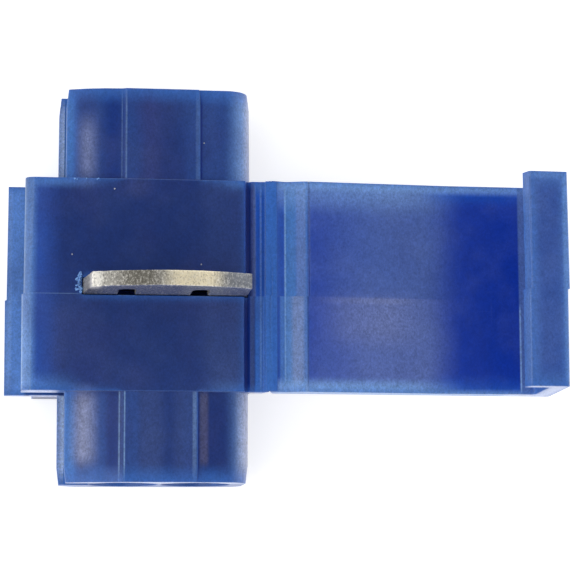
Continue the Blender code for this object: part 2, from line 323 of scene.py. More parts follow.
def make_grain():
    """The mould's fine texture, which shows most where the surface looks hazy."""
    tree, graph, given, result = start_group(
        "mould grain",
        [
            ("Place", "NodeSocketVector", None),
            ("Colour", "NodeSocketColor", None),
            ("Amount", "NodeSocketFloat", 0.3),
        ],
        [("Colour", "NodeSocketColor"), ("Grain", "NodeSocketFloat")],
    )
    stretched = graph.scaled(given["Place"], (1.0, 0.7, 1.0))
    coarse = graph.noise(stretched, 3.2, 2.0)
    fine = graph.noise(stretched, 10.0, 3.0, 0.8)
    grain = graph.math("MULTIPLY_ADD", graph.math("SUBTRACT", coarse, 0.5), 0.3, fine)
    pure = graph.add("ShaderNodeSeparateColor", mode="HSV")
    graph.put(pure.inputs[0], given["Colour"])
    hazy = graph.ramp(pure.outputs[1], 1.0, 0.6, smooth=False)
    shown = graph.math("MULTIPLY_ADD", hazy, 0.9, 0.7)
    shown = graph.math("MULTIPLY", shown, given["Amount"])
    uneven = graph.math("SUBTRACT", grain, 0.5)
    level = graph.math("MULTIPLY_ADD", uneven, shown, 1.0)
    spread = graph.add("ShaderNodeCombineXYZ")
    for socket in spread.inputs:
        graph.put(socket, level)
    graph.put(result["Colour"], graph.vector("MULTIPLY", given["Colour"], spread.outputs[0]))
    graph.put(result["Grain"], grain)
    return tree


def make_scuffs():
    """Fine scratches and dull rubbed patches."""
    tree, graph, given, result = start_group(
        "scuffs",
        [
            ("Place", "NodeSocketVector", None),
            ("Rubbed", "NodeSocketFloat", 0.5),
            ("Scratches", "NodeSocketFloat", 0.5),
        ],
        [("Rubbed", "NodeSocketFloat"), ("Scratches", "NodeSocketFloat")],
    )
    patches = graph.noise(graph.scaled(given["Place"], (0.45, 0.45, 0.45)), 1.0, 4.0, 0.6)
    rubbed = graph.math("MULTIPLY", graph.ramp(patches, 0.4, 0.7), given["Rubbed"])
    graph.put(result["Rubbed"], rubbed)
    lines = None
    for stretch in ((0.25, 7.0, 0.25), (7.0, 0.3, 0.3), (1.2, 6.0, 1.0)):
        streak = graph.noise(graph.scaled(given["Place"], stretch), 1.0, 1.0)
        line = graph.ramp(streak, 0.68, 0.76)
        lines = line if lines is None else graph.math("MAXIMUM", lines, line)
    graph.put(result["Scratches"], graph.math("MULTIPLY", lines, given["Scratches"]))
    return tree


SOFT_BOX = make_soft_box()
THIN_WALLS = make_thin_walls()
CLOUDS = make_clouds()
GRAIN = make_grain()
SCUFFS = make_scuffs()


def start_material(name):
    """A new material, its graph, its surface shader and the place on the piece in mm."""
    made = bpy.data.materials.new(name)
    made.use_nodes = True
    graph = Graph(made.node_tree)
    surface = made.node_tree.nodes["Principled BSDF"]
    metres = graph.add("ShaderNodeTexCoord").outputs["Object"]
    place = graph.scaled(metres, (1 / MM, 1 / MM, 1 / MM))
    return made, graph, surface, place


def paint_zones(graph, place, colour, zones):
    """Lays each zone's colour over the last: (colour, amount, low, high, border), in mm."""
    for over, amount, low, high, border in zones:
        mask = graph.group(SOFT_BOX, place=place, low=low, high=high, border=border)["Mask"]
        colour = graph.blend(graph.math("MULTIPLY", mask, amount), colour, over)
    return colour


# The plastic's surface: how deep light comes through, and how the grain and the worn places show
THIN_DEPTH = 0.5 * MM
THIN_SHARE = 0.85
GRAIN_AMOUNT = 1.15
WORN_SHARE = 0.3
PLASTIC_ROUGHNESS = 0.3
WORN_ROUGHNESS = 0.25
PLASTIC_IOR = 1.49
PLASTIC_SPECULAR = 0.42
GRAIN_BUMP = 0.25
GRAIN_DEPTH = 0.02 * MM
MOULDED_EDGE = 0.07 * MM


def plastic(name, base, zones, clouds, rubbed, scratched):
    """Translucent blue polypropylene with zones of colour, painted light and painted shade, edges
    painted lighter where light comes through, clouds, grain and scuffs.
    """
    made, graph, surface, place = start_material(name)
    colour = paint_zones(graph, place, base, zones)
    colour = graph.group(
        CLOUDS, place=place, colour=colour, cloud_colour=VIOLET, amount=clouds
    )["Colour"]
    thin = graph.group(THIN_WALLS, depth=THIN_DEPTH, strength=THIN_SHARE)["Mask"]
    # painted light where light comes through thin walls and edges
    colour = graph.blend(thin, colour, THIN_BLUE)
    scuffs = graph.group(SCUFFS, place=place, rubbed=rubbed, scratches=scratched)
    worn = graph.math("MAXIMUM", scuffs["Rubbed"], scuffs["Scratches"])
    colour = graph.blend(graph.math("MULTIPLY", worn, WORN_SHARE), colour, LAVENDER)
    grained = graph.group(GRAIN, place=place, colour=colour, amount=GRAIN_AMOUNT)
    graph.put(surface.inputs["Base Color"], grained["Colour"])
    roughness = graph.math("MULTIPLY_ADD", worn, WORN_ROUGHNESS, PLASTIC_ROUGHNESS)
    graph.put(surface.inputs["Roughness"], roughness)
    surface.inputs["IOR"].default_value = PLASTIC_IOR
    surface.inputs["Specular IOR Level"].default_value = PLASTIC_SPECULAR
    bump = graph.add("ShaderNodeBump")
    bump.inputs["Strength"].default_value = GRAIN_BUMP
    bump.inputs["Distance"].default_value = GRAIN_DEPTH
    graph.put(bump.inputs["Height"], grained["Grain"])
    round_edges = graph.add("ShaderNodeBevel", samples=6)
    round_edges.inputs["Radius"].default_value = MOULDED_EDGE
    graph.put(bump.inputs["Normal"], round_edges.outputs["Normal"])
    graph.put(surface.inputs["Normal"], bump.outputs["Normal"])
    return made


# Places on the part, in mm: WIDE is past every side, the rest are where its forms begin or end
WIDE = 30
BLOCK_FRONT = -5.1
BLOCK_BACK = 6.2
FRONT_FOOT = -5.05
BACK_FOOT = 6.15
UPPER = 2.6
RIB_TOP = 4.6
STRAP_SIDE = 3.5
STRAP_TOP = 4
INNER_FACE = 4.7
INNER_CLEAR = 5.3

# Zones of colour, painted light and painted shade: (colour, amount, low corner, high corner, width
# over which each side fades)
BLOCK_ZONES = [
    # the front half painted a little lighter, for the light that its drafted top catches
    (NAVY_FRONT, 0.8, (-WIDE, -WIDE, -WIDE), (WIDE, 0, WIDE), (1, 0.05, 1)),
    (MAUVE, 0.8, (-6.2, -4.2, UPPER), (-4.9, -0.6, WIDE), (2.2, 1.6, 0.2)),
    (MAUVE, 0.7, (-2.1, 5.2, UPPER), (-0.6, BLOCK_BACK, WIDE), (1.6, 1.0, 0.2)),
    (MAUVE, 0.5, (-2.1, BLOCK_FRONT, UPPER), (-0.6, -3.8, WIDE), (1.6, 1.4, 0.2)),
    (NAVY_LIGHT, 0.7, (2.2, BLOCK_FRONT, STRAP_SIDE), (4.3, 0, WIDE), (1.2, 0.1, 0.2)),
    (NAVY_LIGHT, 0.35, (2.2, 0, STRAP_SIDE), (4.3, BLOCK_BACK, WIDE), (1.2, 0.1, 0.2)),
    # edges and corners painted lighter where light comes through
    (EDGE_BLUE, 0.9, (-WIDE, BLOCK_FRONT, UPPER), (-5.8, BLOCK_BACK, WIDE), (1.6, 0.1, 0.2)),
    (CORNER_BLUE, 0.85, (-WIDE, 5.7, UPPER), (-4.0, BLOCK_BACK, WIDE), (4.2, 0.6, 0.2)),
    (CORNER_BLUE, 0.8, (3.6, 5.7, UPPER), (4.3, BLOCK_BACK, WIDE), (2.8, 0.6, 0.2)),
    (CORNER_BLUE, 0.85, (-WIDE, BLOCK_FRONT, UPPER), (-5.0, -4.5, WIDE), (3.4, 1.3, 0.2)),
    (CORNER_BLUE, 0.45, (3.0, BLOCK_FRONT, UPPER), (4.3, -4.6, WIDE), (2.4, 0.8, 0.2)),
    # painted highlights on the block's rounded left edge, with a painted highlight line along its
    # front half
    (BAND_HIGHLIGHT, 0.95, (-WIDE, BLOCK_FRONT, UPPER), (-6.66, BLOCK_BACK, WIDE), (0.5, 0.1, 0.2)),
    (BAND_HIGHLIGHT_LINE, 0.7, (-WIDE, BLOCK_FRONT, UPPER), (-6.8, 0, WIDE), (0.3, 0.05, 0.2)),
    # a painted highlight line down the block's left side
    (EDGE_HIGHLIGHT, 0.5, (-WIDE, BLOCK_FRONT, UPPER), (-7.1, BLOCK_BACK, 4.9), (0.1, 0.1, 0.2)),
]
LEDGE_ZONES = [
    # the ledge painted light, over the shade that the upper jaw casts on it
    (LEDGE_BLUE, 1.0, (-WIDE, BLOCK_FRONT, -WIDE), (-7.1, BLOCK_BACK, 3.1), (0.3, 0.1, 0.2)),
    (LEDGE_LIGHT, 0.8, (-WIDE, BLOCK_FRONT, -WIDE), (-7.86, BLOCK_BACK, 3.1), (0.3, 0.1, 0.2)),
]
STRAP_ZONES = [
    (STRAP_BLUE, 0.95, (4.84, BLOCK_FRONT, STRAP_SIDE), (WIDE, BLOCK_BACK, WIDE), (0.2, 0.1, 0.3)),
    (STRAP_MID, 0.7, (4.86, BLOCK_FRONT, STRAP_SIDE), (WIDE, 0, WIDE), (0.14, 0.05, 0.3)),
    (VIOLET_DARK, 0.85, (4.6, 0, STRAP_TOP), (4.84, BLOCK_BACK, WIDE), (0.1, 0.05, 0.3)),
    (NAVY_LIGHT, 0.9, (4.5, BLOCK_FRONT, STRAP_TOP), (4.82, 0, WIDE), (0.14, 0.05, 0.3)),
    # painted shade in the hinge groove
    (GROOVE_SHADE, 0.9, (4.24, BLOCK_FRONT, STRAP_TOP), (4.6, BLOCK_BACK, WIDE), (0.1, 0.1, 0.3)),
    (LAVENDER, 0.25, (4.76, 0, STRAP_TOP), (4.9, BLOCK_BACK, WIDE), (0.08, 0.05, 0.3)),
    # painted light on the slope that rises to the crest
    (LIT_SIDE_BLUE, 0.9, (5.48, BLOCK_FRONT, STRAP_SIDE), (5.72, 0, WIDE), (0.12, 0.05, 0.3)),
    # painted shade on the slope past the crest, which faces away from the lamp
    (FOLD_SHADE, 0.95, (5.74, BLOCK_FRONT, STRAP_SIDE), (WIDE, BLOCK_BACK, WIDE), (0.08, 0.1, 0.3)),
    # painted highlight lines on the strap's folds
    (EDGE_HIGHLIGHT, 0.25, (5.1, BLOCK_FRONT, STRAP_TOP), (5.2, BLOCK_BACK, WIDE), (0.06, 0.1, 0.3)),
    (EDGE_HIGHLIGHT, 0.25, (5.35, BLOCK_FRONT, STRAP_TOP), (5.4, 0, WIDE), (0.08, 0.05, 0.3)),
    (CORNER_BLUE, 0.8, (4.9, 5.6, STRAP_SIDE), (WIDE, BLOCK_BACK, WIDE), (0.3, 0.9, 0.2)),
    (CORNER_BLUE, 0.5, (4.9, BLOCK_FRONT, STRAP_SIDE), (WIDE, -4.8, WIDE), (0.3, 0.9, 0.2)),
]
BACK_BARREL_ZONES = [
    (BARREL_BLUE, 0.6, (-5.2, BACK_FOOT, UPPER), (4.8, WIDE, WIDE), (0.3, 0.1, 0.2)),
    (BARREL_NAVY, 0.95, (-3.1, BACK_FOOT, UPPER), (-2.1, WIDE, WIDE), (0.9, 0.1, 0.2)),
    (VIOLET, 0.7, (-1.2, BACK_FOOT, UPPER), (0.6, WIDE, WIDE), (0.9, 0.1, 0.2)),
    (NAVY, 0.7, (-0.2, BACK_FOOT, UPPER), (1.2, WIDE, WIDE), (0.8, 0.1, 0.2)),
    (THIN_BLUE, 0.9, (-6, BACK_FOOT, -WIDE), (-4.5, WIDE, WIDE), (0.6, 0.1, 0.2)),
    # painted light on the barrel's left side, which faces the lamp
    (LIT_SIDE_BLUE, 0.9, (-5.2, BACK_FOOT, -WIDE), (-4.7, WIDE, WIDE), (0.3, 0.1, 0.2)),
    # a painted highlight on the curve of the barrel's top
    (GREY_HIGHLIGHT, 0.72, (-4.35, BACK_FOOT, UPPER), (-3.6, 9.2, WIDE), (0.9, 1.8, 0.2)),
    # painted reflection on the lower jaw's lip
    (LIP_REFLECTION, 0.9, (-WIDE, BACK_FOOT, 1.9), (-5.12, WIDE, 3.4), (0.08, 0.1, 0.8)),
    # painted reflection of the bright surroundings where the rounded right side turns away
    (PALE_BLUE, 0.75, (3.8, BACK_FOOT, 3.2), (WIDE, WIDE, WIDE), (1.4, 0.1, 2)),
    (RIM_REFLECTION, 0.85, (4.35, BACK_FOOT, 3.4), (WIDE, WIDE, WIDE), (0.6, 0.1, 1.6)),
    # painted shade in the corner beside the rib
    (GROOVE_SHADE, 0.9, (1.98, BACK_FOOT, UPPER), (2.06, WIDE, WIDE), (0.08, 0.1, 0.2)),
    # painted highlight lines on the rib's edges
    (EDGE_HIGHLIGHT, 0.15, (-2.2, BACK_FOOT, RIB_TOP), (-2.14, WIDE, WIDE), (0.05, 0.1, 0.2)),
    (EDGE_HIGHLIGHT, 0.22, (-1.98, BACK_FOOT, RIB_TOP), (-1.9, WIDE, WIDE), (0.05, 0.1, 0.2)),
    (EDGE_HIGHLIGHT, 0.1, (1.72, BACK_FOOT, RIB_TOP), (1.92, WIDE, WIDE), (0.1, 0.1, 0.2)),
]
FRONT_BARREL_ZONES = [
    (NAVY_LIGHT, 0.8, (-6, -WIDE, UPPER), (0.0, FRONT_FOOT, WIDE), (0.9, 0.1, 0.2)),
    (BARREL_BLUE, 0.9, (-4, -WIDE, UPPER), (-2.8, FRONT_FOOT, WIDE), (0.3, 0.1, 0.2)),
    (BARREL_BLUE, 0.6, (-2.0, -WIDE, UPPER), (-1.2, FRONT_FOOT, WIDE), (0.4, 0.1, 0.2)),
    (BARREL_BLUE, 0.6, (1.0, -WIDE, UPPER), (1.85, FRONT_FOOT, WIDE), (0.5, 0.1, 0.2)),
    (NAVY_LIGHT, 0.6, (0.6, -WIDE, UPPER), (2.0, FRONT_FOOT, WIDE), (0.7, 0.1, 0.2)),
    (THIN_BLUE, 0.9, (-6, -WIDE, -WIDE), (-4.4, FRONT_FOOT, WIDE), (0.6, 0.1, 0.2)),
    # painted light on the barrel's left side, which faces the lamp
    (LIT_SIDE_BLUE, 0.8, (-5.2, -WIDE, -WIDE), (-4.5, FRONT_FOOT, WIDE), (0.4, 0.1, 0.2)),
    # a painted highlight on the curve of the barrel's top
    (WARM_HIGHLIGHT, 0.85, (-4.5, -8.7, UPPER), (-3.55, FRONT_FOOT, WIDE), (1.0, 1.2, 0.2)),
    (BARREL_NAVY, 0.8, (-2.85, -WIDE, UPPER), (-2.25, FRONT_FOOT, WIDE), (0.5, 0.1, 0.2)),
    (NAVY, 1.0, (2.1, -WIDE, UPPER), (3.4, FRONT_FOOT, WIDE), (0.9, 0.1, 0.2)),
    # a painted warm reflection beside the rib
    (WARM_REFLECTION, 0.85, (1.95, -8.8, UPPER), (2.38, FRONT_FOOT, WIDE), (0.24, 0.6, 0.2)),
    # painted shade in the corner beside the rib
    (GROOVE_SHADE, 0.9, (1.82, -WIDE, UPPER), (1.92, FRONT_FOOT, WIDE), (0.08, 0.1, 0.2)),
    # painted reflection on the lower jaw's lip
    (LIP_REFLECTION, 0.9, (-WIDE, -WIDE, 1.9), (-5.0, FRONT_FOOT, 3.4), (0.08, 0.1, 0.8)),
    # painted reflection of the bright surroundings where the rounded right side turns away
    (PALE_BLUE, 0.7, (3.9, -WIDE, 3.2), (WIDE, FRONT_FOOT, WIDE), (1.5, 0.1, 2)),
    (RIM_REFLECTION, 0.95, (4.12, -WIDE, 3.4), (WIDE, FRONT_FOOT, WIDE), (0.8, 0.1, 1.6)),
    # painted highlight lines on the rib's edges
    (EDGE_HIGHLIGHT, 0.4, (-2.25, -WIDE, RIB_TOP), (-2.18, FRONT_FOOT, WIDE), (0.05, 0.1, 0.2)),
    (EDGE_HIGHLIGHT, 0.45, (-1.98, -WIDE, RIB_TOP), (-1.91, FRONT_FOOT, WIDE), (0.05, 0.1, 0.2)),
    (EDGE_HIGHLIGHT, 0.25, (1.58, -WIDE, RIB_TOP), (1.78, FRONT_FOOT, WIDE), (0.1, 0.1, 0.2)),
]
END_ZONES = [
    # the barrel ends painted lighter where light comes through
    (THIN_BLUE, 0.6, (-6, 10.4, -WIDE), (6, WIDE, WIDE), (0.4, 0.9, 0.2)),
    (THIN_BLUE, 0.6, (-6, -WIDE, -WIDE), (6, -9.1, WIDE), (0.4, 0.9, 0.2)),
    # a painted highlight along the parting line
    (EDGE_HIGHLIGHT, 0.2, (-WIDE, -0.02, 1), (-4.25, 0.02, WIDE), (0.2, 0.05, 0.2)),
    # a painted reflection on the slope of the front end
    (RIM_REFLECTION, 0.3, (-3.7, -WIDE, UPPER), (3.7, -9.2, 4.5), (0.2, 0.4, 0.4)),
    # painted reflections of the white surroundings on faces that look forward
    (WHITE_REFLECTION, 0.85, (-WIDE, -WIDE, 3.9), (WIDE, -9.715, WIDE), (0.2, 0.03, 0.8)),
    (WHITE_REFLECTION, 0.8, (-6.8, -5.2, 1.4), (-5.3, -5.0, 2.2), (0.2, 0.03, 0.3)),
    (WHITE_REFLECTION, 0.7, (-7.3, -5.2, 3.9), (-5.5, -5.0, 5.12), (0.6, 0.03, 0.8)),
]
BODY_ZONES = (
    BLOCK_ZONES + LEDGE_ZONES + STRAP_ZONES + BACK_BARREL_ZONES + FRONT_BARREL_ZONES + END_ZONES
)
COVER_ZONES = [
    (SHEEN_BACK, 0.85, (6.2, -0.02, INNER_FACE), (15.0, WIDE, INNER_CLEAR), (2.6, 0.04, 0.5)),
    (SHEEN_FRONT, 0.9, (6.4, -WIDE, INNER_FACE), (14.9, -0.02, INNER_CLEAR), (2.4, 0.04, 0.5)),
    (SHEEN_LIGHT, 0.3, (8.6, -2.4, INNER_FACE), (12.9, -0.04, INNER_CLEAR), (2.6, 1.6, 0.5)),
    (SHEEN_LIGHT, 0.3, (8.4, -0.35, INNER_FACE), (12.9, -0.03, INNER_CLEAR), (2.0, 0.3, 0.5)),
    (SHEEN_BACK, 0.35, (7.6, -5.1, INNER_FACE), (8.9, -2.6, INNER_CLEAR), (0.9, 1.6, 0.5)),
    (STRAP_MID, 0.9, (-WIDE, -WIDE, -WIDE), (7.6, WIDE, WIDE), (0.1, 1, 1)),
    (LAVENDER, 0.4, (-WIDE, -WIDE, -WIDE), (5.77, WIDE, WIDE), (0.06, 1, 1)),
    # painted shade on the fold's slope that faces away from the lamp
    (FOLD_SHADE, 0.95, (5.92, 0, -WIDE), (6.38, WIDE, WIDE), (0.12, 0.04, 1)),
    (FOLD_SHADE, 0.95, (5.84, -WIDE, -WIDE), (6.14, 0, WIDE), (0.12, 0.04, 1)),
    # painted light on the slope that rises to the second crest
    (LIT_SIDE_BLUE, 0.9, (6.46, -WIDE, -WIDE), (6.95, WIDE, WIDE), (0.1, 1, 1)),
    # painted highlight lines on the hinge
    (EDGE_HIGHLIGHT, 0.35, (6.38, -WIDE, -WIDE), (6.47, WIDE, WIDE), (0.05, 1, 1)),
    (EDGE_HIGHLIGHT, 0.12, (6.5, -WIDE, INNER_FACE), (7.0, 0, WIDE), (0.1, 0.04, 1)),
    # painted highlight on the crest before the plate
    (CREST_HIGHLIGHT_BACK, 0.8, (7.0, 0, INNER_FACE), (7.5, WIDE, WIDE), (0.16, 0.04, 1)),
    (CREST_HIGHLIGHT_FRONT, 0.9, (6.78, -WIDE, INNER_FACE), (7.42, 0, WIDE), (0.3, 0.04, 1)),
    # painted shade in the crease at the plate's foot
    (CREASE_SHADE, 0.5, (7.56, -WIDE, INNER_FACE), (7.64, WIDE, WIDE), (0.05, 1, 1)),
    (STRAP_BLUE, 0.6, (14, 5.3, -WIDE), (WIDE, WIDE, WIDE), (2, 0.9, 1)),
    (STRAP_BLUE, 0.6, (14, -WIDE, -WIDE), (WIDE, -4.45, WIDE), (2, 1.2, 1)),
    (COVER_EDGE, 0.95, (-WIDE, 5.75, -WIDE), (WIDE, WIDE, WIDE), (0.5, 0.5, 1)),
    (COVER_EDGE, 0.45, (-WIDE, 4.9, -WIDE), (14.6, WIDE, WIDE), (4, 1.6, 1)),
    (COVER_EDGE, 0.95, (-WIDE, -WIDE, -WIDE), (14.6, -4.5, WIDE), (4, 0.7, 1)),
    (COVER_EDGE, 0.9, (-WIDE, -WIDE, -WIDE), (WIDE, -4.88, WIDE), (0.5, 0.3, 1)),
    # painted highlight lines along the cover's front edge and beside the hook
    (EDGE_HIGHLIGHT, 0.35, (-WIDE, -WIDE, -WIDE), (WIDE, -4.97, WIDE), (0.5, 0.16, 1)),
    (PLATE_RIM, 0.75, (19.02, -WIDE, -WIDE), (19.6, WIDE, 5.9), (0.12, 1, 0.3)),
    (EDGE_HIGHLIGHT, 0.6, (19.02, -5, -WIDE), (19.1, -0.4, 5.9), (0.06, 0.6, 0.3)),
    (HOOK_BLUE, 0.95, (17, -WIDE, 6.4), (WIDE, WIDE, WIDE), (0.5, 1, 1.6)),
    (HOOK_BLUE, 0.9, (19.6, -WIDE, -WIDE), (WIDE, WIDE, WIDE), (0.3, 1, 1)),
    (HOOK_CENTRE, 0.95, (18.95, -4.5, 9), (20.2, 5.5, WIDE), (0.6, 1.2, 0.3)),
    (COVER_EDGE, 0.5, (17, 5.85, 6), (WIDE, WIDE, WIDE), (0.5, 0.5, 0.4)),
    (COVER_EDGE, 0.6, (20.35, -WIDE, 9.1), (WIDE, WIDE, WIDE), (0.3, 1, 0.3)),
    (PLATE_RIM, 0.6, (17, -WIDE, 8.4), (18.56, WIDE, WIDE), (0.1, 1, 0.4)),
    # a painted reflection of the white surroundings on the hook's front face
    (WHITE_REFLECTION, 0.55, (18.2, -WIDE, -WIDE), (WIDE, -5.0, WIDE), (0.5, 0.03, 1)),
]


# The tin plate's surface, with the share of its painted glints
METAL_ROUGHNESS = 0.42
TEAR_ROUGHNESS = 0.3
TEAR_SHARE = 0.35
SPECK_SHARE = 0.6
GLINT_SHARE = 0.65
TEAR_BUMP = 0.6
TEAR_DEPTH = 0.06 * MM


def metal(name, zones, light_and_shade_zones):
    """Tin-plated brass with a coarse sheared edge, painted glints, and painted highlights and
    shade along its top.
    """
    made, graph, surface, place = start_material(name)
    colour = paint_zones(graph, place, TIN_GREY, zones)
    tears = graph.noise(graph.scaled(place, (5.0, 0.9, 0.6)), 1.0, 3.0, 0.65)
    pits_and_glints = graph.noise(place, 7.0, 2.0, 0.6)
    specks = graph.noise(graph.scaled(place, (1.0, 0.6, 1.0)), 13.0, 2.0, 0.7)
    torn = graph.math("MULTIPLY", graph.ramp(tears, 0.56, 0.74), TEAR_SHARE)
    speckled = graph.math("MULTIPLY", graph.ramp(specks, 0.48, 0.34), SPECK_SHARE)
    colour = graph.blend(graph.math("MAXIMUM", torn, speckled), colour, SHEAR_DARK)
    # painted glints: bright specks on the tin
    bright = graph.math("MAXIMUM", graph.ramp(pits_and_glints, 0.5, 0.75), graph.ramp(specks, 0.54, 0.7))
    colour = graph.blend(graph.math("MULTIPLY", bright, GLINT_SHARE), colour, TIN_GLINT)
    colour = paint_zones(graph, place, colour, light_and_shade_zones)
    graph.put(surface.inputs["Base Color"], colour)
    surface.inputs["Metallic"].default_value = 1.0
    roughness = graph.math("MULTIPLY_ADD", tears, TEAR_ROUGHNESS, METAL_ROUGHNESS)
    graph.put(surface.inputs["Roughness"], roughness)
    bump = graph.add("ShaderNodeBump")
    bump.inputs["Strength"].default_value = TEAR_BUMP
    bump.inputs["Distance"].default_value = TEAR_DEPTH
    graph.put(bump.inputs["Height"], graph.math("ADD", tears, graph.math("MULTIPLY", pits_and_glints, 0.6)))
    graph.put(surface.inputs["Normal"], bump.outputs["Normal"])
    return made


METAL_ZONES = [
    (FACE_TIN, 0.9, (-9, -1, -WIDE), (9, 0.03, WIDE), (1, 0.05, 1)),
    (TIN_PALE, 0.6, (1.0, -1, -WIDE), (3.2, 0.03, WIDE), (0.8, 0.05, 1)),
    (SHEAR_DARK, 0.6, (-9, -1, -WIDE), (-3.3, 0.03, WIDE), (0.8, 0.05, 1)),
    # painted glint, highlights and shade along the plate's top
    (TIN_GLINT, 0.7, (-3.9, -1, 7), (-3.3, 2, 12), (0.3, 1, 1)),
    (TIN_WARM_HIGHLIGHT, 1.0, (0.2, 0.03, 7), (2.6, 2, 12), (1.4, 0.05, 1)),
    (TIN_SHADE, 0.9, (2.95, 0.03, 7), (9, 2, 12), (1.4, 0.05, 1)),
    (TIN_WARM_SHADE, 0.85, (-2.3, 0.03, 7), (-0.5, 2, 12), (1.0, 0.05, 1)),
]
# more painted highlight and shade on the top, laid over the specks
METAL_LIGHT_AND_SHADE_ZONES = [
    (TIN_WARM_HIGHLIGHT, 0.38, (0.3, 0.03, 7), (2.6, 2, 12), (1.2, 0.05, 1)),
    (TIN_SHADE, 0.5, (3.1, 0.03, 7), (9, 2, 12), (1.0, 0.05, 1)),
    (TIN_WARM_SHADE, 0.45, (-1.9, 0.03, 7), (-0.9, 2, 12), (0.8, 0.05, 1)),
]


# Points nearer than this are one, and the width of the edges that a press leaves
MERGE = 0.001 * MM
PRESSED_EDGE = 0.06 * MM


def make_contact(finish):
    """The contact plate again, with its edges rounded as a press leaves them."""
    node = frame["nodes"]["contact_plate"]
    form = bmesh.new()
    form.from_mesh(node.data)
    bmesh.ops.remove_doubles(form, verts=form.verts, dist=MERGE)
    bmesh.ops.dissolve_limit(
        form, angle_limit=math.radians(1), verts=form.verts, edges=form.edges
    )
    sharp = [edge for edge in form.edges if edge.is_manifold and edge.calc_face_angle() > 0.6]
    bmesh.ops.bevel(
        form,
        geom=sharp,
        offset=PRESSED_EDGE,
        segments=3,
        profile=0.5,
        affect="EDGES",
        clamp_overlap=True,
    )
    mesh = bpy.data.meshes.new("contact_blade")
    form.to_mesh(mesh)
    form.free()
    mesh.shade_smooth()
    mesh.set_sharp_from_angle(angle=math.radians(40))
    mesh.materials.append(finish)
    blade = add_object("contact_blade", mesh, "contact")
    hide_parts("contact_plate")


def make_hinge_web(finish):
    """The thin moulded strip of the living hinge, which on the real part bends as the cover folds;
    this piece stays as it is made.
    """
    low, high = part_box("latch_cover")
    axis_x, axis_z = (frame["joints"][0]["pos_m"][i] for i in (0, 2))
    reach = 0.3 * MM
    thickness = 0.12 * MM
    depth = 0.012 * MM
    inset = 0.03 * MM
    steps = 12
    top = [(axis_x - reach + 2 * reach * i / steps, axis_z - depth) for i in range(steps + 1)]
    under = [(x, z - thickness) for x, z in reversed(top)]
    outline = top + under
    form = bmesh.new()
    loops = []
    for y in (low.y + inset, -inset, inset, high.y - inset):
        loops.append([form.verts.new((x, y, z)) for x, z in outline])
    for near, far in zip(loops, loops[1:]):
        for i in range(len(near)):
            j = (i + 1) % len(near)
            form.faces.new((near[i], near[j], far[j], far[i]))
    form.faces.new(reversed(loops[0]))
    form.faces.new(loops[-1])
    bmesh.ops.recalc_face_normals(form, faces=form.faces)
    mesh = bpy.data.meshes.new("hinge_web")
    form.to_mesh(mesh)
    form.free()
    mesh.shade_smooth()
    mesh.set_sharp_from_angle(angle=math.radians(40))
    mesh.materials.append(finish)
    web = bpy.data.objects.new("hinge_web", mesh)
    bpy.context.scene.collection.objects.link(web)
    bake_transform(web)


def plain(name, colour, roughness):
    """One colour, a little darker in spots."""
    made, graph, surface, place = start_material(name)
    spots = graph.ramp(graph.noise(place, 9.0), 0.35, 0.65)
    darker = tuple(0.8 * value for value in colour)
    graph.put(surface.inputs["Base Color"], graph.blend(spots, colour, darker))
    surface.inputs["Roughness"].default_value = roughness
    return made


def make_specks(name, places, body, finish):
    """Crumbs on a surface: (x, y, z, radius) in mm."""
    form = bmesh.new()
    for x, y, z, radius in places:
        made = bmesh.ops.create_icosphere(form, subdivisions=1, radius=radius * MM)
        for vert in made["verts"]:
            vert.co *= random.uniform(0.7, 1.2)
            vert.co.z *= 0.5
            vert.co += Vector((x, y, z)) * MM
    mesh = bpy.data.meshes.new(name)
    form.to_mesh(mesh)
    form.free()
    mesh.shade_smooth()
    mesh.materials.append(finish)
    add_object(name, mesh, body)


# The row of shavings: how many, where the row lies, and how high it stands, in mm
SHAVINGS = 22
BURR_X = -4.24
BURR_Y = 0.08
BURR_LENGTH = 0.98
BLOCK_TOP = 5.2


def make_burr(finish):
    """Shavings of plastic that the contact plate has pushed up at the left end of its slot."""
    form = bmesh.new()
    for step in range(SHAVINGS):
        along = step / (SHAVINGS - 1)
        x = BURR_X - 0.2 * random.random() - 0.14 * along * (1 - along)
        y = BURR_Y + BURR_LENGTH * along
        size = random.uniform(0.05, 0.12)
        centre = Vector((x, y, BLOCK_TOP + 0.4 * size)) * MM
        made = bmesh.ops.create_cone(
            form,
            cap_ends=True,
            segments=5,
            radius1=size * MM,
            radius2=0.25 * size * MM,
            depth=2.4 * size * MM,
        )
        turn = Matrix.Rotation(random.uniform(0, 6.28), 3, "Z") @ Matrix.Rotation(
            random.uniform(0.5, 1.3), 3, "X"
        )
        for vert in made["verts"]:
            vert.co = turn @ vert.co * random.uniform(0.85, 1.15) + centre
    mesh = bpy.data.meshes.new("slot_burr")
    form.to_mesh(mesh)
    form.free()
    mesh.shade_smooth()
    mesh.materials.append(finish)
    add_object("slot_burr", mesh, "body")


# Dust on the body, and chips on the block's back edge: (x, y, z, radius) in mm
BODY_SPECKS = [
    (-2.55, 5.55, 5.21, 0.06),
    (-4.72, 2.05, 5.21, 0.045),
    (2.0, 1.62, 5.21, 0.05),
    (3.9, 0.05, 5.21, 0.05),
    (2.15, 8.1, 5.12, 0.05),
]
EDGE_CHIPS = [
    (-4.62, 6.06, 5.18, 0.06),
    (-4.5, 6.02, 5.19, 0.04),
    (-4.02, 6.08, 5.17, 0.05),
    (-3.46, 6.05, 5.18, 0.045),
    (-3.38, 6.09, 5.17, 0.06),
]


